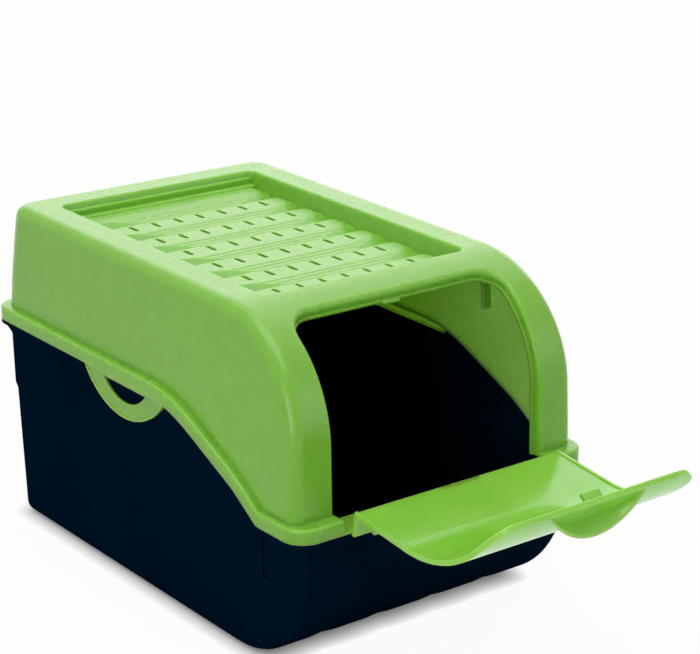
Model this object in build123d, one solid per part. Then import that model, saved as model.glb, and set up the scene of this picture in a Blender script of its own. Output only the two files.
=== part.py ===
"""Vegetable storage bin: a tub, a lift-off hood lid and a curved hopper door.

Frame, millimetres: X to the right seen from the door side, the door faces -Y,
Z up. The tub stands on z = 0 and the rim outline is centred on x = y = 0.
The door is written open, turned about its hinge line at the front of the lid rim.
"""
import os
from math import atan, cos, degrees, radians, sin, tan

from build123d import *

# Rim shared by tub and lid
RIM_WIDTH = 250.0
RIM_LENGTH = 378.0
RIM_CORNER = 16.0
RIM_BACK_Z = 153.5          # underside of the lid rim along the back and most of the sides
RIM_FRONT_Z = 102.8         # underside of the lid rim across the front
RIM_HEIGHT = 10.1
RIM_CREST_ROUND = 2.0
DROP_START = 147.0          # from the rim's front end to where its line starts to drop
DROP_KNEE = 71.0
DROP_END = 45.0
DROP_KNEE_SHARE = 0.33      # height left at the knee, of the whole drop
DROP_ROUNDS = (120.0, 120.0, 6.0)
SKIRT = 2.4                 # thickness of the lid rim's outer skirt

# Walls and clearances
WALL = 2.4
GAP = 0.3                   # between faces of two pieces that follow one another
DOOR_GAP = 0.8              # around the door's edge
BEYOND = 60.0               # how far a trimming body reaches past what it trims

# Hood of the lid, its walls measured inwards from the rim outline
TOP_Z = 239.0
SIDE_INSETS = (4.9, 6.2, 12.4)          # at the rim's front height, part way up and at the top
BACK_INSETS = (2.6, 3.6, 6.2)
INSET_SHARE = 0.49          # height of the middle inset between the front rim and the top
FRONT_INSET = 12.5          # rim outline to the front wall, at the foot of the brow
BROW_RADIUS = 84.0
FRONT_LEAN = 0.047          # outward lean of the straight front wall, mm per mm
BACK_CORNER = 17.5
EDGE_ROUND = 9.0
HOOD_LOW_Z = RIM_FRONT_Z - 4.8
HOOD_MID_Z = HOOD_LOW_Z + INSET_SHARE * (TOP_Z - HOOD_LOW_Z)
HOOD_HALF = [RIM_WIDTH / 2 - inset for inset in SIDE_INSETS]
HOOD_BACK = [RIM_LENGTH / 2 - inset for inset in BACK_INSETS]
BROW_Y = -RIM_LENGTH / 2 + FRONT_INSET + BROW_RADIUS
BROW_Z = TOP_Z - BROW_RADIUS

# Vent tray sunk in the top
TRAY_SIDE = 26.8            # from the hood's top edges to the tray
TRAY_REAR = 27.1
TRAY_DEPTH = 14.0
TRAY_DRAFT = 15.0           # lean of the tray's walls, degrees
TRAY_CORNER = 6.5
TRAY_EDGE_ROUND = 2.0
TRAY_STEPS = ((4.0, 4.2), (9.5, 9.0))   # depth into the tray and height lost at each rear step
STEP_ROUND = 1.6
TRAY_HALF = HOOD_HALF[2] - TRAY_SIDE
TRAY_BACK = HOOD_BACK[2] - TRAY_REAR
TRAY_FRONT = BROW_Y - 5.7
TRAY_FLOOR_Z = TOP_Z - TRAY_DEPTH
RIDGE_PITCH = 35.04
RIDGE_COUNT = 7             # the rearmost one has no slots
RIDGE_REAR = 11.4           # from the tray's rear edge to the first ridge
RIDGE_RISE = 4.8
RIDGE_DRAFT = 45.0          # slope of the ridges' long flanks, degrees
NOSE_SIDE = 9.8             # from the tray's side edges to the ridges' noses
NOSE_LENGTH = 14.0
NOSE_ROUNDS = (9.0, 4.0)    # front and rear corner of a nose
NOSE_FALL = 22.0            # slope of the noses towards the side walls, degrees
WEB_SIDE = 43.8             # from the side edges to where the ridges part
TERRACE_START = 20.2        # level stretch of each ridge, from its rear edge
TERRACE_COUNT = 3
TERRACE_BULGE = 0.45
VALLEY_DROP = 0.9           # from the level stretch to the line where two ridges meet
VALLEY_REACH = 2.5
SLOT_PITCH = 19.18
SLOT_COUNT = 7
SLOT_LENGTH = 12.0
SLOT_WIDTH = 3.4
SLOT_REAR = 9.2             # from a ridge's rear edge to the middle of its slots

# Door opening in the brow
SIGHT = radians(60.0)       # the opening is cut square to the brow at this angle
OPENING_SIDE = 37.0         # from the rim outline to the opening
OPENING_TOP = 11.1          # top edge, measured along the brow from the SIGHT line
OPENING_CORNER = 20.0
REBATE_DEPTH = 6.0
REBATE_ROUND = 3.0
LAND_SIDE = 1.2             # ledge left round the opening, behind the door
LAND_TOP = 2.2
SILL_HEIGHT = 1.6
OPENING_HALF = RIM_WIDTH / 2 - OPENING_SIDE
RIB_AHEAD = (2.5, 0.0)      # stiffening ribs inside the hood's side walls, ahead of the brow's axis
RIB_DEPTH = 6.5
RIB_LENGTH = 35.0
CATCH_HALF = 7.0            # lip behind the ledge that the door's snap hook bears on
CATCH_DROP = 1.8
CATCH_THICK = 2.0

# Door and hinge
HINGE_Y = -RIM_LENGTH / 2 - 3.6
HINGE_Z = RIM_FRONT_Z + 2.9
BARREL_RADIUS = 3.4
ROD_RADIUS = 1.7
ROD_FIT = 0.05              # radial clearance of the rod in the lid's knuckle
KNUCKLE_HALF = 15.5
BARREL_SIDE = 17.0          # from the door's side edges to the ends of the barrel
KNUCKLE_DEPTH = 11.1
OPEN_ANGLE = 98.8
DOOR_THICK = 2.4
FLANGE_TOP = RIM_FRONT_Z + 8.5   # top of the flange that joins the closed door to its barrel
DOOR_LIP = 1.0
DOOR_LIP_WIDTH = 2.0
NOTCH_SIDE = 0.5            # between the knuckle and the door's notch
NOTCH_RISE = 0.7
PULL_HALF = 40.0
PULL_REACH = 18.0
PULL_RISE = 12.0
PULL_THICK = 1.8
PULL_EDGE = 2.8             # from the door's free edge to the ends of the pull
HOOK_WIDTH = 14.5
HOOK_LENGTH = 3.0
HOOK_HEIGHT = 7.6
HOOK_ROUND = 0.8
HOOK_TOP = OPENING_TOP - LAND_TOP - CATCH_DROP - GAP

# Side tabs of the lid
TAB_BACK = 201.6            # from the rim's front end to the middle of the tab
TAB_INSET = 1.6             # rim outline to the tab's outer face
TAB_THICK = 2.0
TAB_RADIUS = 61.5
TAB_DROP = 26.4             # below the rim's underside
TAB_LIP = 1.4
TAB_LIP_RISE = 0.7
HOLE_LENGTH = 53.2
HOLE_TOP = 3.0              # below the rim's underside
HOLE_RADIUS = 34.7
HOLE_DROP = 15.3

# Tub
SHOULDER_Z = 102.0          # the tub narrows here
SHOULDER_HEIGHT = 5.0
UPPER_INSET = 4.4           # rim outline to wall at RIM_BACK_Z
UPPER_DRAFT = 1.74
LOWER_INSET = 7.5           # rim outline to wall under the shoulder
LOWER_DRAFT = 1.97
TUB_WALL = 2.4
TUB_FLOOR = 2.6
TUB_SETBACK = 5.5           # the back wall lies this much further in than the side walls
TUB_FLANGE = 2.4
FLANGE_FLARE = 7.0          # height of the flare that carries the flange
TUB_FRONT_ROUND = 75.0
TUB_ROUND = 8.5             # upright corners and bottom edges
FLUTE_PITCH = 47.5
FLUTE_COUNT = 5
FLUTE_DEPTH = 1.2
FLUTE_SLOPE = 50.0          # degrees below level from the toe's centre to the grooves' middle
FLUTE_SPAN = 64.0           # degrees of the toe that the grooves cover
LIP_THICK = 2.0
LIP_RISE = 6.0
LIP_END = 6.5               # the lip stays this far from the door opening
PAD_LENGTH = 12.0           # flat rests under the lid rim, the only places where it touches
PAD_WIDTH = 2.0
PAD_SIDE = 55.0             # from the rim's side to the rests at the back
PAD_BACK = 39.0             # from the rim's ends to the rests on the sides
PAD_FRONT = 25.0
GRIP_AHEAD = (38.0, 49.0)   # upright recess in each side wall, from the rim's front end
GRIP_Z = (63.0, 95.0)
GRIP_DEPTH = 1.6


def region(points):
    """Closed straight-sided face on the current plane."""
    return make_face(Polyline(*points, close=True))


def rim_body(inset, low, high):
    """Upright body of the rim outline, moved in by inset."""
    outline = RectangleRounded(RIM_WIDTH - 2 * inset, RIM_LENGTH - 2 * inset, RIM_CORNER - inset)
    return extrude(Pos(0, 0, low) * outline, high - low)


def rim_drop():
    """Corners of the rim's dropping line: y, z and the radius that rounds each."""
    front = -RIM_LENGTH / 2
    knee_z = RIM_FRONT_Z + DROP_KNEE_SHARE * (RIM_BACK_Z - RIM_FRONT_Z)
    corners = ((DROP_START, RIM_BACK_Z), (DROP_KNEE, knee_z), (DROP_END, RIM_FRONT_Z))
    return [(front + y, z, radius) for (y, z), radius in zip(corners, DROP_ROUNDS)]


def above_rim(shift):
    """Everything above the rim's dropping line, moved up by shift."""
    end = RIM_LENGTH / 2 + BEYOND
    line = [(y, z + shift) for y, z, _ in rim_drop()]
    top = TOP_Z + BEYOND
    face = region([(end, RIM_BACK_Z + shift), *line, (-end, RIM_FRONT_Z + shift), (-end, top), (end, top)])
    for (y, z), radius in zip(line, DROP_ROUNDS):
        corner = [v for v in face.vertices() if abs(v.X - y) + abs(v.Y - z) < 0.1]
        face = fillet(corner, radius)
    return extrude(Plane.YZ * face, RIM_WIDTH, both=True)


def side_body(inset, half, low):
    """Side view of the hood moved in by inset, spread across the width."""
    low_y, mid_y, top_y = [y - inset for y in HOOD_BACK]
    top = TOP_Z - inset
    radius = BROW_RADIUS - inset
    front = BROW_Y - radius
    foot = front - FRONT_LEAN * (BROW_Z - low)
    slant = radius * cos(radians(45))
    back = ThreePointArc((low_y, low), (mid_y, HOOD_MID_Z), (top_y, top))
    roof = Line((top_y, top), (BROW_Y, top))
    brow = ThreePointArc((BROW_Y, top), (BROW_Y - slant, BROW_Z + slant), (front, BROW_Z))
    face = make_face([back, roof, brow, Line((front, BROW_Z), (foot, low)), Line((foot, low), (low_y, low))])
    return extrude(Plane.YZ * face, half, both=True)


def hood_body(inset, low=HOOD_LOW_Z):
    """Solid hood with every wall moved in by inset."""
    low_x, mid_x, top_x = [x - inset for x in HOOD_HALF]
    top = TOP_Z - inset
    right = ThreePointArc((low_x, low), (mid_x, HOOD_MID_Z), (top_x, top))
    left = ThreePointArc((-top_x, top), (-mid_x, HOOD_MID_Z), (-low_x, low))
    face = make_face([Line((-low_x, low), (low_x, low)), right, Line((top_x, top), (-top_x, top)), left])
    body = extrude(Plane.XZ * face, RIM_LENGTH, both=True) & side_body(inset, RIM_WIDTH, low)
    back = HOOD_BACK[2] - inset - 1
    uprights = [e for e in body.edges() if rise(e) > 1 and e.bounding_box().min.Y > back]
    body = fillet(uprights, BACK_CORNER - inset)
    crown = [e for e in body.edges() if e.bounding_box().max.Z > low + 1 and rise(e) < 0.1
             and not level_across(e)]
    crown += [e for e in body.edges() if rise(e) > 1 and e.center().Y < BROW_Y]
    return fillet(crown, EDGE_ROUND - inset)


def rise(edge):
    """Height from an edge's lowest to its highest point."""
    return edge.bounding_box().size.Z


def level_across(edge):
    """True for the seam lines that cross the hood at its brow."""
    return abs(edge.center().X) < 1 and edge.center().Y < 0


def sight_prism(half, top, corner):
    """Body with the door's outline, running square through the brow."""
    low = -2 * TOP_Z
    face = region([(-half, low), (half, low), (half, top), (-half, top)])
    face = fillet([v for v in face.vertices() if v.Y > low / 2], corner)
    return extrude(sight_plane().offset(-BEYOND) * face, 2 * BEYOND + BROW_RADIUS)


def tray_body(grow, low, height):
    """Tapered body of the tray, moved out by grow, from low upwards."""
    out = grow - (TOP_Z - low) * tan(radians(TRAY_DRAFT))
    length = TRAY_BACK - TRAY_FRONT + 2 * out
    outline = RectangleRounded(2 * (TRAY_HALF + out), length, TRAY_CORNER + out)
    middle = (TRAY_BACK + TRAY_FRONT) / 2
    return extrude(Pos(0, middle, low) * outline, height, taper=-TRAY_DRAFT)


def vent_tray():
    """Pocket of the tray and the block of material that carries it."""
    pocket = tray_body(0, TRAY_FLOOR_Z, TRAY_DEPTH + 1)
    for depth, drop in TRAY_STEPS:
        pocket -= tray_step(TRAY_BACK - depth, TOP_Z - drop)
    pocket -= ridges()
    block = tray_body(WALL / cos(radians(TRAY_DRAFT)), TRAY_FLOOR_Z - WALL, TRAY_DEPTH)
    rear, front = ridge_rear(0), ridge_rear(RIDGE_COUNT)
    height = RIDGE_RISE - VALLEY_DROP
    hollow = Box(2 * (TRAY_HALF - WEB_SIDE - WALL), rear - front - 4 * WALL, 2 * height)
    return pocket, block - Pos(0, (rear + front) / 2, TRAY_FLOOR_Z - WALL) * hollow


def tray_step(front, top):
    """Step with a rounded nose along the tray's rear wall."""
    low = TRAY_FLOOR_Z - WALL / 2
    back = TRAY_BACK + WALL / 2
    face = region([(front, low), (front, top), (back, top), (back, low)])
    nose = [v for v in face.vertices() if abs(v.X - front) + abs(v.Y - top) < 0.1]
    return extrude(Plane.YZ * fillet(nose, STEP_ROUND), RIM_WIDTH / 2, both=True)


def ridge_rear(row):
    """y of the rear edge of a ridge."""
    return TRAY_BACK - RIDGE_REAR - row * RIDGE_PITCH


def ridges():
    """Terraced ridges, joined in the middle and parted into tongues at both sides."""
    rear, front = ridge_rear(0), ridge_rear(RIDGE_COUNT)
    web = Box(2 * (TRAY_HALF - WEB_SIDE), rear - front, 4 * RIDGE_RISE)
    plan = Pos(0, (rear + front) / 2, TRAY_FLOOR_Z) * web
    for row in range(RIDGE_COUNT):
        plan += tongue(ridge_rear(row))
    return plan & terraces()


def terraces():
    """Side view of all ridges, spread across the tray."""
    crest = TRAY_FLOOR_Z + RIDGE_RISE
    valley = crest - VALLEY_DROP
    low = TRAY_FLOOR_Z - WALL / 2
    pitch = (RIDGE_PITCH - TERRACE_START) / TERRACE_COUNT
    fall = VALLEY_DROP / TERRACE_COUNT
    line = []
    for row in range(RIDGE_COUNT):
        rear = ridge_rear(row)
        shoulder = (rear - VALLEY_REACH / 3, crest - VALLEY_DROP / 3)
        line.append(ThreePointArc((rear, valley), shoulder, (rear - VALLEY_REACH, crest)))
        line.append(Line((rear - VALLEY_REACH, crest), (rear - TERRACE_START, crest)))
        for step in range(TERRACE_COUNT):
            start = (rear - TERRACE_START - step * pitch, crest - step * fall)
            end = (start[0] - pitch, start[1] - fall)
            middle = ((start[0] + end[0]) / 2, (start[1] + end[1]) / 2 + TERRACE_BULGE)
            line.append(ThreePointArc(start, middle, end))
    rear, front = ridge_rear(0), ridge_rear(RIDGE_COUNT)
    line.append(Polyline((front, valley), (front, low), (rear, low), (rear, valley)))
    return extrude(Plane.YZ * make_face(line), TRAY_HALF, both=True)


def tongue(rear):
    """Plan of one ridge: straight behind, slanting back to a round nose in front."""
    levels = []
    for height in (-WALL / 2, RIDGE_RISE + 1):
        below = RIDGE_RISE - height
        grow = below * tan(radians(RIDGE_DRAFT))
        half = TRAY_HALF - NOSE_SIDE + below / tan(radians(NOSE_FALL))
        web = TRAY_HALF - WEB_SIDE
        back = rear + grow
        nose = rear - NOSE_LENGTH - grow
        front = rear - RIDGE_PITCH - grow
        face = region([(-half, back), (half, back), (half, nose), (web, front), (-web, front), (-half, nose)])
        for y, radius in zip((nose, back), NOSE_ROUNDS):
            corners = [v for v in face.vertices() if abs(v.X) > half - 0.1 and abs(v.Y - y) < 0.1]
            face = fillet(corners, radius)
        levels.append(Pos(0, 0, TRAY_FLOOR_Z + height) * face)
    return loft(levels, ruled=True)


def slots():
    """Narrow openings through the ridges."""
    cutters = []
    cutter = extrude(SlotOverall(SLOT_LENGTH, SLOT_WIDTH, rotation=90), 4 * RIDGE_RISE, both=True)
    for row in range(1, RIDGE_COUNT):
        for column in range(SLOT_COUNT):
            x = (column - (SLOT_COUNT - 1) / 2) * SLOT_PITCH
            cutters.append(Pos(x, ridge_rear(row) - SLOT_REAR, TRAY_FLOOR_Z) * cutter)
    return cutters


def side_tabs():
    """Half-round tabs under both side rims and the finger holes through them."""
    face = RIM_WIDTH / 2 - TAB_INSET
    middle = TAB_BACK - RIM_LENGTH / 2
    centre = Pos(0, middle, RIM_BACK_Z - TAB_DROP + TAB_RADIUS)
    tabs = cross_disc(TAB_RADIUS, face)
    tabs += cross_disc(TAB_RADIUS, face + TAB_LIP_RISE) - cross_disc(TAB_RADIUS - TAB_LIP, RIM_WIDTH)
    tabs -= cross_disc(2 * TAB_RADIUS, face - TAB_THICK)
    keep = Box(2 * RIM_WIDTH, 4 * TAB_RADIUS, BEYOND)
    tabs = (centre * tabs) & (Pos(0, middle, RIM_BACK_Z + 1 - BEYOND / 2) * keep)
    hole = Pos(0, middle, RIM_BACK_Z - HOLE_DROP + HOLE_RADIUS) * cross_disc(HOLE_RADIUS, RIM_WIDTH)
    hole &= Pos(0, middle, RIM_BACK_Z - HOLE_TOP - BEYOND / 2) * Box(2 * RIM_WIDTH, HOLE_LENGTH, BEYOND)
    return tabs, hole


def cross_disc(radius, half):
    """Disc about an axis along X, reaching half to both sides."""
    return Rot(0, 90, 0) * Cylinder(radius, 2 * half)


def hinge_rod(radius, half, centre_x=0.0):
    """Rod along the hinge line."""
    return Pos(centre_x, HINGE_Y, HINGE_Z) * Rot(0, 90, 0) * Cylinder(radius, 2 * half)


def lid():
    shell = hood_body(0)
    cavity = hood_body(WALL)
    pocket, block = vent_tray()
    frame_half = OPENING_HALF + WALL
    frame = (side_body(0, frame_half, HOOD_LOW_Z)
             - side_body(REBATE_DEPTH + WALL, frame_half, HOOD_LOW_Z))
    frame &= sight_prism(frame_half, OPENING_TOP + WALL, OPENING_CORNER + WALL)
    under_rim = above_rim(RIM_HEIGHT - WALL)
    hood = (shell - (cavity - block - frame) - pocket) & under_rim
    hood = fillet([e for e in hood.edges() if on_tray_edge(e)], TRAY_EDGE_ROUND)
    rim = (rim_body(0, HOOD_LOW_Z, TOP_Z) & above_rim(0)) - above_rim(RIM_HEIGHT)
    rim -= cavity
    rim -= rim_body(SKIRT, HOOD_LOW_Z, TOP_Z) - under_rim
    body = soften_rim(hood + rim)

    rebate = sight_prism(OPENING_HALF, OPENING_TOP, OPENING_CORNER)
    body -= rebate - side_body(REBATE_DEPTH, RIM_WIDTH, HOOD_LOW_Z)
    body = fillet([e for e in body.edges() if on_rebate(e)], REBATE_ROUND)
    body -= sight_prism(OPENING_HALF - LAND_SIDE, OPENING_TOP - LAND_TOP, OPENING_CORNER - LAND_TOP)
    body += sill() + catch()
    body += (ribs() & shell) - hood_body(WALL + RIB_DEPTH)
    body -= slots()
    body += knuckle()
    body -= hinge_rod(ROD_RADIUS + ROD_FIT, KNUCKLE_HALF + 1)

    tabs, hole = side_tabs()
    return body + tabs - hole


def sill():
    """Low front of the rim left under the door."""
    depth = RIM_LENGTH / 2 + BROW_Y - BROW_RADIUS + REBATE_DEPTH + WALL
    strip = Pos(0, -RIM_LENGTH / 2 + depth / 2, RIM_FRONT_Z) * Box(2 * OPENING_HALF, depth, BEYOND)
    return rim_body(0, RIM_FRONT_Z, RIM_FRONT_Z + SILL_HEIGHT) & strip


def catch():
    """Lip at the back of the ledge, at the middle of the opening's top edge."""
    edge = OPENING_TOP - LAND_TOP
    deep = REBATE_DEPTH + WALL / 2 + CATCH_THICK / 2
    lip = Box(2 * CATCH_HALF, CATCH_DROP + LAND_TOP / 2, CATCH_THICK)
    return sight_plane().location * Pos(0, edge + (LAND_TOP / 2 - CATCH_DROP) / 2, BROW_RADIUS - deep) * lip


def ribs():
    """Stiffening ribs of both side walls before they are trimmed to the hood."""
    front, back = [BROW_Y - ahead for ahead in RIB_AHEAD]
    bar = Box(RIM_WIDTH, back - front, RIB_LENGTH)
    bar -= Box(2 * TRAY_HALF + 4 * WALL, 2 * (back - front), RIB_LENGTH)
    return Pos(0, (front + back) / 2, TRAY_FLOOR_Z - RIB_LENGTH / 2) * bar


def knuckle():
    """Middle knuckle that carries the door's hinge rod."""
    height = HINGE_Z - RIM_FRONT_Z
    foot = Box(2 * KNUCKLE_HALF, KNUCKLE_DEPTH, height)
    foot = Pos(0, HINGE_Y + KNUCKLE_DEPTH / 2, RIM_FRONT_Z + height / 2) * foot
    return hinge_rod(BARREL_RADIUS, KNUCKLE_HALF) + foot


def on_tray_edge(edge):
    """True for the edges where the tray's walls meet the roof."""
    c = edge.center()
    along = TRAY_FRONT - 1 < c.Y < TRAY_BACK + 1
    return c.Z > TOP_Z - 0.6 and along and abs(c.X) < TRAY_HALF + 1


def soften_rim(body):
    """Round the rim's crest and the cove between rim and hood."""
    crest = [e for e in body.edges() if near_rim_top(e)]
    return fillet(crest, RIM_CREST_ROUND)


def near_rim_top(edge):
    """True for the outer top edges of the rim."""
    c = edge.center()
    size = edge.bounding_box().size
    out_x = abs(c.X) - RIM_WIDTH / 2
    out_y = abs(c.Y) - RIM_LENGTH / 2
    corner = RIM_CORNER * (1 - cos(radians(45))) + 1
    on_outline = abs(out_x) < 0.3 or abs(out_y) < 0.3 or (out_x > -corner and out_y > -corner)
    upright = size.Z > RIM_HEIGHT / 2 and size.X + size.Y < 1
    return on_outline and c.Z > rim_line(c.Y) + RIM_HEIGHT - 0.8 and not upright


def rim_line(y):
    """Height of the rim's underside at y, roundings ignored."""
    corners = [(p, z) for p, z, _ in rim_drop()]
    points = [(RIM_LENGTH, RIM_BACK_Z), *corners, (-RIM_LENGTH, RIM_FRONT_Z)]
    for (y1, z1), (y0, z0) in zip(points, points[1:]):
        if y0 <= y <= y1:
            return z0 + (z1 - z0) * (y - y0) / (y1 - y0)
    return RIM_FRONT_Z


def on_rebate(edge):
    """True for the edges where the door rebate meets the brow's face."""
    c = edge.center()
    from_axis = ((c.Y - BROW_Y) ** 2 + (c.Z - BROW_Z) ** 2) ** 0.5
    on_arc = abs(from_axis - BROW_RADIUS) < 1.5 and c.Z > BROW_Z
    wall_y = BROW_Y - BROW_RADIUS - FRONT_LEAN * (BROW_Z - c.Z)
    on_wall = abs(c.Y - wall_y) < 0.5 and RIM_FRONT_Z + RIM_HEIGHT < c.Z <= BROW_Z
    in_opening = abs(c.X) < OPENING_HALF + 0.5 and c.Y < TRAY_FRONT - 1
    return (on_arc or on_wall) and in_opening and edge.length > 3


def sight_plane():
    """Plane square to the sight line, through the axis of the brow."""
    return Plane(origin=(0, BROW_Y, BROW_Z), x_dir=(1, 0, 0), z_dir=(0, -cos(SIGHT), sin(SIGHT)))


def door_edge(inset):
    """Body with the door's outline, moved in by inset from the opening."""
    return sight_prism(OPENING_HALF - inset, OPENING_TOP - inset, OPENING_CORNER - inset)


def closed_door():
    """Door as it sits in the opening."""
    half = OPENING_HALF - DOOR_GAP
    low = FLANGE_TOP - DOOR_THICK
    shell = side_body(0, half, low) - side_body(DOOR_THICK, RIM_WIDTH, low)
    body = shell & door_edge(DOOR_GAP)
    lip = (side_body(DOOR_THICK, half, low) - side_body(DOOR_THICK + DOOR_LIP, RIM_WIDTH, low))
    body += (lip & door_edge(DOOR_GAP)) - door_edge(DOOR_GAP + DOOR_LIP_WIDTH)
    wall_y = BROW_Y - BROW_RADIUS - FRONT_LEAN * (BROW_Z - low)
    reach = wall_y + DOOR_THICK - HINGE_Y
    body += Pos(0, HINGE_Y + reach / 2, FLANGE_TOP - DOOR_THICK / 2) * Box(2 * half, reach, DOOR_THICK)
    body += barrel(half - BARREL_SIDE)
    notch = Box(2 * (KNUCKLE_HALF + NOTCH_SIDE), reach + 4 * BARREL_RADIUS, BEYOND)
    body -= Pos(0, HINGE_Y + reach / 2, FLANGE_TOP + NOTCH_RISE - BEYOND / 2) * notch
    body += hinge_rod(ROD_RADIUS, KNUCKLE_HALF + 2 * NOTCH_SIDE)
    return body + pull() + hook()


def barrel(half):
    """Hinge barrel of the closed door and the web that carries it."""
    height = FLANGE_TOP - HINGE_Z
    web = Pos(0, HINGE_Y - BARREL_RADIUS / 2, HINGE_Z + height / 2) * Box(2 * half, BARREL_RADIUS, height)
    return hinge_rod(BARREL_RADIUS, half) + web


def pull():
    """Crescent finger pull standing out from the door near its free edge."""
    radius = (PULL_HALF ** 2 + PULL_REACH ** 2) / (2 * PULL_REACH)
    chord = OPENING_TOP - DOOR_GAP - PULL_EDGE
    low = BROW_RADIUS - 8
    ring = (Cylinder(radius, BEYOND, align=(Align.CENTER, Align.CENTER, Align.MIN))
            - Cylinder(radius - PULL_THICK, BEYOND, align=(Align.CENTER, Align.CENTER, Align.MIN)))
    ring = Pos(0, chord + radius - PULL_REACH, low) * ring
    slant = region([(chord, low), (chord, BROW_RADIUS), (chord - PULL_REACH, BROW_RADIUS + PULL_RISE),
                    (chord - 2 * PULL_REACH, BROW_RADIUS + PULL_RISE), (chord - 2 * PULL_REACH, low)])
    ring &= extrude(Plane.YZ * slant, PULL_HALF + 1, both=True)
    return sight_plane().location * ring - side_body(DOOR_THICK / 2, RIM_WIDTH, HOOD_LOW_Z)


def hook():
    """Snap hook on the inner face beside the free edge, under the lid's catch."""
    block = Box(HOOK_WIDTH, HOOK_LENGTH, HOOK_HEIGHT + DOOR_THICK)
    block = fillet(block.edges().group_by(Axis.Z)[0], HOOK_ROUND)
    middle = BROW_RADIUS - DOOR_THICK - HOOK_HEIGHT / 2
    return sight_plane().location * Pos(0, HOOK_TOP - HOOK_LENGTH / 2, middle) * block


def door():
    """Door in its open rest position."""
    axis = Axis((0, HINGE_Y, HINGE_Z), (1, 0, 0))
    return closed_door().rotate(axis, OPEN_ANGLE)


def tub_walls(inset):
    """Solid of the tub up to its rim, every wall moved in by inset."""
    floor = TUB_FLOOR if inset else 0.0
    high = SHOULDER_Z + inset + SHOULDER_HEIGHT / 2
    low = high - SHOULDER_HEIGHT
    joint = SHOULDER_HEIGHT / 4
    upper_inset = UPPER_INSET + inset + (RIM_BACK_Z - high) * tan(radians(UPPER_DRAFT))
    slope = (LOWER_INSET + inset - upper_inset) / SHOULDER_HEIGHT
    upper = extrude(Pos(0, 0, high) * tub_outline(upper_inset), RIM_BACK_Z - high, taper=-UPPER_DRAFT)
    base = Pos(0, 0, low - joint) * tub_outline(LOWER_INSET + inset + slope * joint)
    shoulder = extrude(base, SHOULDER_HEIGHT + joint, taper=-degrees(atan(slope)))
    top = low + joint
    side = RIM_WIDTH / 2 - LOWER_INSET - inset + joint * tan(radians(LOWER_DRAFT))
    front = side + (RIM_LENGTH - RIM_WIDTH) / 2
    back = front - TUB_SETBACK
    narrowing = (top - floor) * tan(radians(LOWER_DRAFT))
    across = region([(-side, top), (side, top), (side - narrowing, floor), (narrowing - side, floor)])
    along = region([(-front, top), (back, top), (back - narrowing, floor), (narrowing - front, floor)])
    toe = [v for v in along.vertices() if v.X < 0 and v.Y < low / 2]
    along = fillet(toe, TUB_FRONT_ROUND - inset)
    lower = (extrude(Plane.XZ * across, RIM_LENGTH, both=True)
             & extrude(Plane.YZ * along, RIM_WIDTH, both=True))
    seams = [e for e in lower.edges() if abs(e.center().X) < 1 and e.center().Y < 0]
    outline = [e for e in lower.edges() if e.bounding_box().min.Z < low and e not in seams]
    return upper + shoulder + fillet(outline, TUB_ROUND - inset)


def tub_outline(inset):
    """Plan outline of the tub: the rim's moved in by inset, and further at the back."""
    length = RIM_LENGTH - TUB_SETBACK - 2 * inset
    return Pos(0, -TUB_SETBACK / 2) * RectangleRounded(RIM_WIDTH - 2 * inset, length, RIM_CORNER - inset)


def tub():
    inside = tub_walls(TUB_WALL)
    rim_top = above_rim(-GAP)
    body = tub_walls(0) + flare() - flutes() - inside - rim_top
    flange = (rim_body(0, HOOD_LOW_Z, TOP_Z) & above_rim(-GAP - TUB_FLANGE)) - rim_top
    body += flange - inside
    body += lip(rim_top)
    body -= tab_reliefs()
    body += pads()
    body -= grips() - tub_walls(GRIP_DEPTH)
    return body


def flare():
    """Flared body under the level part of the flange."""
    low = RIM_BACK_Z - GAP - TUB_FLANGE - FLANGE_FLARE
    out = UPPER_INSET - GAP
    return extrude(Pos(0, 0, low) * tub_outline(UPPER_INSET), FLANGE_FLARE,
                   taper=-degrees(atan(out / FLANGE_FLARE)))


def flutes():
    """What is cut from the rounded toe so that shallow grooves run between pillows."""
    span = radians(FLUTE_SPAN / 2)
    reach = TUB_FRONT_ROUND * sin(span)
    fall = TUB_FRONT_ROUND * (1 - cos(span)) - FLUTE_DEPTH
    sweep = (reach ** 2 + fall ** 2) / (2 * fall)
    high = sweep + 8 * FLUTE_DEPTH
    ends = [(k - FLUTE_COUNT / 2) * FLUTE_PITCH for k in range(FLUTE_COUNT + 1)]
    arcs = [ThreePointArc((x0, sweep), ((x0 + x1) / 2, sweep + 1.3 * FLUTE_DEPTH), (x1, sweep))
            for x0, x1 in zip(ends, ends[1:])]
    left, right = ends[0], ends[-1]
    face = make_face([*arcs, Line((right, sweep), (right, high)), Line((right, high), (left, high)),
                      Line((left, high), (left, sweep))])
    ring = Rot(180, 0, 0) * revolve(face, Axis.X, 90)
    draft = radians(LOWER_DRAFT)
    foot_y = LOWER_INSET + (SHOULDER_Z - SHOULDER_HEIGHT / 2) * tan(draft) - RIM_LENGTH / 2
    centre_y = foot_y + TUB_FRONT_ROUND * (1 / cos(draft) - tan(draft))
    away = sweep - TUB_FRONT_ROUND + FLUTE_DEPTH
    slope = radians(FLUTE_SLOPE)
    return Pos(0, centre_y + away * cos(slope), TUB_FRONT_ROUND + away * sin(slope)) * ring


def lip(rim_top):
    """Upright lip of the tub that locates the lid, clear of the door and the tabs."""
    outside = SKIRT + GAP
    ring = rim_body(outside, HOOD_LOW_Z, TOP_Z) - rim_body(outside + LIP_THICK, HOOD_LOW_Z - 1, TOP_Z + 1)
    ring = (ring & rim_top) - above_rim(LIP_RISE)
    front = Box(2 * (OPENING_HALF + LIP_END), 4 * RIM_CORNER, BEYOND)
    return ring - Pos(0, -RIM_LENGTH / 2, RIM_FRONT_Z) * front


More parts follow.
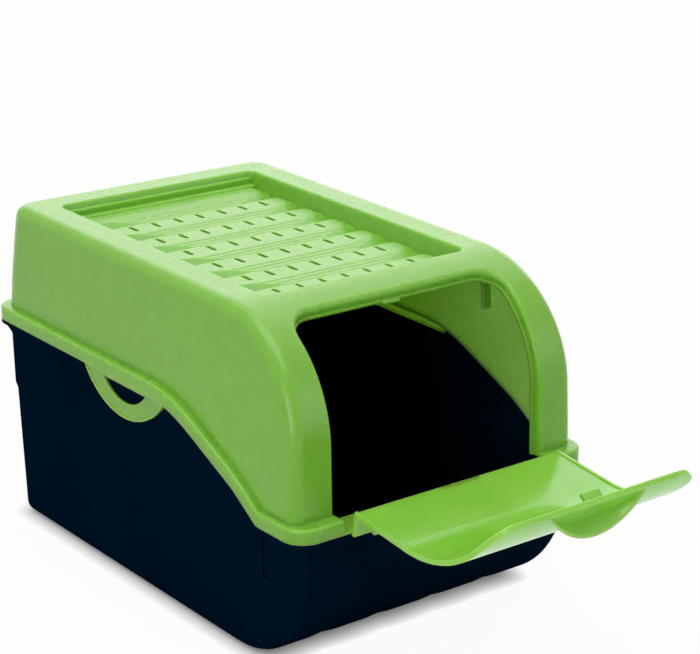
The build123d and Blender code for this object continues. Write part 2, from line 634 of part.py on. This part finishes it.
def tab_reliefs():
    """Room in the tub's rim for the lid's side tabs."""
    half = (TAB_RADIUS ** 2 - (TAB_RADIUS - TAB_DROP) ** 2) ** 0.5 + 5 * GAP
    depth = TAB_INSET + TAB_THICK + GAP
    flange_cut = Box(2 * depth, 2 * half, BEYOND)
    lip_cut = Pos(0, 0, BEYOND / 2 - GAP) * Box(8 * depth, 2 * half, BEYOND)
    return [Pos(side * RIM_WIDTH / 2, TAB_BACK - RIM_LENGTH / 2, RIM_BACK_Z) * cut
            for side in (1, -1) for cut in (flange_cut, lip_cut)]


def pads():
    """Flat rests on the rim's level stretches."""
    side_x = (RIM_WIDTH - SKIRT) / 2
    back_y = (RIM_LENGTH - SKIRT) / 2
    along = Box(PAD_WIDTH, PAD_LENGTH, 2 * GAP)
    across = Box(PAD_LENGTH, PAD_WIDTH, 2 * GAP)
    rests = []
    for side in (1, -1):
        rests.append(Pos(side * (RIM_WIDTH / 2 - PAD_SIDE), back_y, RIM_BACK_Z - GAP) * across)
        rests.append(Pos(side * side_x, RIM_LENGTH / 2 - PAD_BACK, RIM_BACK_Z - GAP) * along)
        rests.append(Pos(side * side_x, PAD_FRONT - RIM_LENGTH / 2, RIM_FRONT_Z - GAP) * along)
    return rests


def grips():
    """Blocks that outline the two upright recesses near the front of the side walls."""
    front, back = [y - RIM_LENGTH / 2 for y in GRIP_AHEAD]
    low, high = GRIP_Z
    return Pos(0, (front + back) / 2, (low + high) / 2) * Box(RIM_WIDTH, back - front, high - low)


if __name__ == "__main__":
    os.makedirs("parts", exist_ok=True)
    for name, piece in (("tub", tub()), ("lid", lid()), ("door", door())):
        print(name, piece.volume, len(piece.solids()))
        export_step(piece, f"parts/{name}.step")
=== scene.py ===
from math import cos, radians, sin

import bpy
from mathutils import Matrix, Vector


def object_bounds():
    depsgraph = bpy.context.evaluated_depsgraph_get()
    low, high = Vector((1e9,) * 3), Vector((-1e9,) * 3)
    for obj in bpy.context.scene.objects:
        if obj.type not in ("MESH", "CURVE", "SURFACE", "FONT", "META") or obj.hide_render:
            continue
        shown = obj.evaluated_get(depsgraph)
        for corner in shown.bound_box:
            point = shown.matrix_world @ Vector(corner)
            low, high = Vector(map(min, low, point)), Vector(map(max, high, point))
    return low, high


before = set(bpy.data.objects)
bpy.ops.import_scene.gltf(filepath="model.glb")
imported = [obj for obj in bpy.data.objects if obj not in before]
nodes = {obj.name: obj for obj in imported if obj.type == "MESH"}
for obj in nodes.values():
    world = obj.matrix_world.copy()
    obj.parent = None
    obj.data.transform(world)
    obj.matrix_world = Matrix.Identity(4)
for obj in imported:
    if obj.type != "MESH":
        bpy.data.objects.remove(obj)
cad_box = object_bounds()
bpy.context.scene.view_settings.view_transform = "Standard"

# Camera: turn about the upright, tilt and roll in degrees, lens and sensor in millimetres.
# The offset is where the object's origin lies along the camera's own axes, in metres.
CAMERA_TURN = -38.209
CAMERA_TILT = 19.152
CAMERA_ROLL = 0.825
CAMERA_LENS = 115.39
CAMERA_SENSOR = 36.0
CAMERA_OFFSET = (-0.0519, -0.1623, -1.6491)
CAMERA_REACH = 20.0

# Lamps: place, aim, and width and height in metres, then power in watts
LAMPS = {
    "key": ((-0.3, -0.2, 2.2), (0.0, 0.0, 0.1), (1.8, 1.8), 31.0),
    "rear": ((1.25, 1.3, 1.35), (0.0, 0.0, 0.15), (2.8, 2.6), 23.0),
    "right": ((1.2, -2.0, 0.9), (0.0, 0.0, 0.12), (1.2, 1.2), 5.2),
    "left": ((-2.1, -1.1, 0.6), (0.0, -0.1, 0.15), (1.0, 1.0), 13.1),
}

# World: its strength as a light on the object, and its strength where it is seen
WHITE = (1.0, 1.0, 1.0, 1.0)
WORLD_FILL = 0.18
WORLD_SEEN = 1.0

# Floor, in metres: half its width, and how far it lies under the object
FLOOR_HALF = 6.0
FLOOR_DROP = 0.0002
FLOOR_WHITE = (0.90, 0.90, 0.90, 1.0)
FLOOR_GLOW = 1.0
GLOW_SHARE = 0.95           # share of glowing white, darkened by a painted contact shadow, in what is seen; the rest takes the lamps' shadows
PAINTED_SHADOW_REACH = 0.012       # width of the painted contact shadow at the foot of the object
PAINTED_SHADOW_POWER = 0.8
PAINTED_SHADOW_SAMPLES = 8

# Colours, linear. Each plastic is clouded between two of them.
GREEN = (0.222, 0.530, 0.046, 1.0)
GREEN_DEEP = (0.216, 0.519, 0.0435, 1.0)
DOOR_GREEN = (0.260, 0.575, 0.070, 1.0)
# paler green painted on the hood's inside faces: painted light for the light falling in through the
# opening
PAINTED_LIGHT_GREEN = (0.330, 0.550, 0.170, 1.0)
NAVY = (0.0003, 0.0092, 0.0230, 1.0)
NAVY_DEEP = (0.0002, 0.0070, 0.0185, 1.0)

# Plastic, in metres. Each noise has its scale per metre and its detail.
PLASTIC_IOR = 1.49
INSIDE_REACH = 0.010                # how far light travels inside the wall
INSIDE_SPREAD = (0.85, 1.0, 0.5)    # shares of that for red, green and blue
CLOUD_NOISE = (14.0, 4.0)           # clouds of colour
PATCH_NOISE = (55.0, 5.0)           # patches of more and less gloss
SKIN_NOISE = (1400.0, 2.0)          # fine texture from the mould
SKIN_HEIGHT = 0.0004
WAVE_NOISE = (90.0, 2.0)            # slow waves of the wall
WAVE_HEIGHT = 0.002
NOISE_SPAN = (0.35, 0.65)           # where most of a noise's values lie
EDGE_RADIUS = 0.0008                # rounding of sharp edges in the shading
EDGE_SAMPLES = 4

# Painted light inside the hood, in metres: a paler green stands in for the light that falls in through
# the opening. A face gets it where its plane lies far enough behind the hood's centre, and where it is
# lower than the tray. Across each span the painted light fades into the plastic's own colour.
HOOD_CENTRE = (0.0, 0.0, 0.14)
PLANE_SPAN = (-0.104, -0.096)
HEIGHT_SPAN = (0.2216, 0.2226)

# Places of the colour mix's sockets, whose names stand for several types
MIX_FIRST = 6
MIX_SECOND = 7
MIX_RESULT = 2


def node(tree, kind, **inputs):
    """Adds a shader node and sets the inputs given by name, with _ for a space."""
    made = tree.nodes.new(kind)
    for name, value in inputs.items():
        made.inputs[name.replace("_", " ")].default_value = value
    return made


def math_node(tree, operation, first, second):
    """Reckons with a socket and with a number or a second socket."""
    made = tree.nodes.new("ShaderNodeMath")
    made.operation = operation
    tree.links.new(first, made.inputs[0])
    if isinstance(second, float):
        made.inputs[1].default_value = second
    else:
        tree.links.new(second, made.inputs[1])
    return made.outputs[0]


def vector_node(tree, operation, first):
    """Reckons with a vector socket and a second vector, which the caller sets or links."""
    made = tree.nodes.new("ShaderNodeVectorMath")
    made.operation = operation
    tree.links.new(first, made.inputs[0])
    return made


def mix_colours(tree, factor, first):
    """Mixes a fixed colour, where the factor is 0, with a second one, which the caller sets or links."""
    made = tree.nodes.new("ShaderNodeMix")
    made.data_type = "RGBA"
    made.inputs[MIX_FIRST].default_value = first
    tree.links.new(factor, made.inputs[0])
    return made


def mix_shaders(tree, factor, first, second, output):
    """Shows the first shader where the factor is 0, and the second where it is 1."""
    made = tree.nodes.new("ShaderNodeMixShader")
    tree.links.new(factor, made.inputs[0])
    tree.links.new(first.outputs[0], made.inputs[1])
    tree.links.new(second.outputs[0], made.inputs[2])
    tree.links.new(made.outputs[0], output.inputs["Surface"])


def new_material(name):
    """Makes a node material that holds its output alone."""
    material = bpy.data.materials.new(name)
    material.use_nodes = True
    tree = material.node_tree
    tree.nodes.clear()
    return material, tree, tree.nodes.new("ShaderNodeOutputMaterial")


def noise(tree, scale, detail):
    """Adds solid noise in the object's own space."""
    place = tree.nodes.new("ShaderNodeTexCoord")
    made = node(tree, "ShaderNodeTexNoise", Scale=scale, Detail=detail)
    tree.links.new(place.outputs["Object"], made.inputs["Vector"])
    return made.outputs["Fac"]


def ranged(tree, source, low, high, span=NOISE_SPAN):
    """Maps the values in a span onto low to high, and holds those outside it at its ends."""
    made = node(tree, "ShaderNodeMapRange", From_Min=span[0], From_Max=span[1], To_Min=low, To_Max=high)
    tree.links.new(source, made.inputs["Value"])
    return made.outputs["Result"]


def bump(tree, height, normal, strength, distance):
    """Adds a bump on top of a given normal."""
    made = node(tree, "ShaderNodeBump", Strength=strength, Distance=distance)
    tree.links.new(height, made.inputs["Height"])
    tree.links.new(normal, made.inputs["Normal"])
    return made.outputs["Normal"]


def plastic(name, colour, deep, rough, vary, grain, swell, soft, gloss):
    """Moulded plastic: clouded colour, uneven gloss, skin texture, rounded edges, some light let in."""
    material, tree, output = new_material(name)
    shader = node(tree, "ShaderNodeBsdfPrincipled", IOR=PLASTIC_IOR, Specular_IOR_Level=gloss,
                  Subsurface_Weight=soft, Subsurface_Radius=INSIDE_SPREAD, Subsurface_Scale=INSIDE_REACH)
    clouds = mix_colours(tree, ranged(tree, noise(tree, *CLOUD_NOISE), 0.0, 1.0), deep)
    clouds.inputs[MIX_SECOND].default_value = colour
    tree.links.new(clouds.outputs[MIX_RESULT], shader.inputs["Base Color"])
    patches = ranged(tree, noise(tree, *PATCH_NOISE), rough - vary, rough + vary)
    tree.links.new(patches, shader.inputs["Roughness"])
    edge = node(tree, "ShaderNodeBevel", Radius=EDGE_RADIUS)
    edge.samples = EDGE_SAMPLES
    fine = bump(tree, noise(tree, *SKIN_NOISE), edge.outputs["Normal"], grain, SKIN_HEIGHT)
    broad = bump(tree, noise(tree, *WAVE_NOISE), fine, swell, WAVE_HEIGHT)
    tree.links.new(broad, shader.inputs["Normal"])
    tree.links.new(shader.outputs[0], output.inputs["Surface"])
    return material


def paint_light_inside(material):
    """Paints a paler green, as painted light, on the faces that look towards the middle of the hood."""
    tree = material.node_tree
    shader = next(n for n in tree.nodes if n.type == "BSDF_PRINCIPLED")
    place = tree.nodes.new("ShaderNodeTexCoord")
    from_centre = vector_node(tree, "SUBTRACT", place.outputs["Object"])
    from_centre.inputs[1].default_value = HOOD_CENTRE
    plane = vector_node(tree, "DOT_PRODUCT", from_centre.outputs["Vector"])
    tree.links.new(place.outputs["Normal"], plane.inputs[1])
    height = tree.nodes.new("ShaderNodeSeparateXYZ")
    tree.links.new(place.outputs["Object"], height.inputs[0])
    outer = math_node(tree, "MAXIMUM",
                      ranged(tree, plane.outputs["Value"], 0.0, 1.0, PLANE_SPAN),
                      ranged(tree, height.outputs["Z"], 0.0, 1.0, HEIGHT_SPAN))
    # painted light: the inside faces get the paler green
    painted_light = mix_colours(tree, outer, PAINTED_LIGHT_GREEN)
    tree.links.new(shader.inputs["Base Color"].links[0].from_socket, painted_light.inputs[MIX_SECOND])
    tree.links.new(painted_light.outputs[MIX_RESULT], shader.inputs["Base Color"])


def dress(name, material):
    """Gives a CAD node its material."""
    for slot in nodes[name].material_slots:
        slot.material = material


def add_camera():
    """Points the camera by its angles, and puts it where the offset says."""
    turn, tilt, roll = (radians(a) for a in (CAMERA_TURN, CAMERA_TILT, CAMERA_ROLL))
    back = Vector((sin(turn) * cos(tilt), -cos(turn) * cos(tilt), sin(tilt)))
    right = (-back).cross(Vector((0, 0, 1))).normalized()
    up = right.cross(-back)
    right, up = right * cos(roll) + up * sin(roll), up * cos(roll) - right * sin(roll)
    place = Matrix((right, up, back)).transposed()
    camera = bpy.data.objects.new("camera", bpy.data.cameras.new("camera"))
    camera.data.sensor_width = CAMERA_SENSOR
    camera.data.lens = CAMERA_LENS
    camera.data.clip_end = CAMERA_REACH
    camera.matrix_world = Matrix.Translation(-(place @ Vector(CAMERA_OFFSET))) @ place.to_4x4()
    bpy.context.collection.objects.link(camera)
    bpy.context.scene.camera = camera


def add_lamp(name, place, aim, size, power):
    """Adds a soft rectangular lamp."""
    data = bpy.data.lights.new(name, "AREA")
    data.shape = "RECTANGLE"
    data.size, data.size_y = size
    data.energy = power
    lamp = bpy.data.objects.new(name, data)
    lamp.location = place
    lamp.rotation_euler = (Vector(aim) - Vector(place)).to_track_quat("-Z", "Y").to_euler()
    bpy.context.collection.objects.link(lamp)


def seen_directly(tree):
    """Gives 1 for what the camera sees straight, in a reflection or through glass."""
    path = tree.nodes.new("ShaderNodeLightPath")
    seen = path.outputs["Is Camera Ray"]
    for ray in ("Is Glossy Ray", "Is Transmission Ray"):
        seen = math_node(tree, "MAXIMUM", seen, path.outputs[ray])
    return seen


def add_world():
    """Adds an even white world, weaker as a light than where it is seen."""
    world = bpy.data.worlds.new("studio")
    world.use_nodes = True
    tree = world.node_tree
    tree.nodes.clear()
    fill = node(tree, "ShaderNodeBackground", Color=WHITE, Strength=WORLD_FILL)
    seen = node(tree, "ShaderNodeBackground", Color=WHITE, Strength=WORLD_SEEN)
    mix_shaders(tree, seen_directly(tree), fill, seen, tree.nodes.new("ShaderNodeOutputWorld"))
    bpy.context.scene.world = world


def floor_paper():
    """Paper that looks evenly white, with the lamps' shadows and a painted contact shadow where the
    object stands.
    """
    material, tree, output = new_material("floor_paper")
    matt = node(tree, "ShaderNodeBsdfDiffuse", Color=FLOOR_WHITE)
    glow = node(tree, "ShaderNodeEmission", Strength=FLOOR_GLOW)
    near = node(tree, "ShaderNodeAmbientOcclusion", Distance=PAINTED_SHADOW_REACH)
    near.samples = PAINTED_SHADOW_SAMPLES
    # painted contact shadow: the glowing white darkens where the object is near
    painted_shadow = math_node(tree, "POWER", near.outputs["AO"], PAINTED_SHADOW_POWER)
    tree.links.new(painted_shadow, glow.inputs["Color"])
    share = math_node(tree, "MULTIPLY", seen_directly(tree), GLOW_SHARE)
    mix_shaders(tree, share, matt, glow, output)
    return material


def add_floor():
    """Adds the floor under the object, as part of the stage."""
    corners = [(x * FLOOR_HALF, y * FLOOR_HALF, 0) for x, y in ((-1, -1), (1, -1), (1, 1), (-1, 1))]
    mesh = bpy.data.meshes.new("floor")
    mesh.from_pydata(corners, [], [(0, 1, 2, 3)])
    mesh.materials.append(floor_paper())
    floor = bpy.data.objects.new("floor", mesh)
    floor.location.z = cad_box[0][2] - FLOOR_DROP
    bpy.context.collection.objects.link(floor)


add_camera()
add_world()
add_floor()
for lamp_name, lamp in LAMPS.items():
    add_lamp(lamp_name, *lamp)

lid_green = plastic("lid_green", GREEN, GREEN_DEEP,
                    rough=0.27, vary=0.02, grain=0.06, swell=0.004, soft=0.9, gloss=0.42)
door_green = plastic("door_green", DOOR_GREEN, GREEN,
                     rough=0.16, vary=0.01, grain=0.01, swell=0.01, soft=0.9, gloss=0.5)
tub_navy = plastic("tub_navy", NAVY, NAVY_DEEP,
                   rough=0.42, vary=0.05, grain=0.08, swell=0.05, soft=0.0, gloss=0.0)
# painted light on the hood's inside faces
paint_light_inside(lid_green)
dress("lid", lid_green)
dress("door", door_green)
dress("tub", tub_navy)
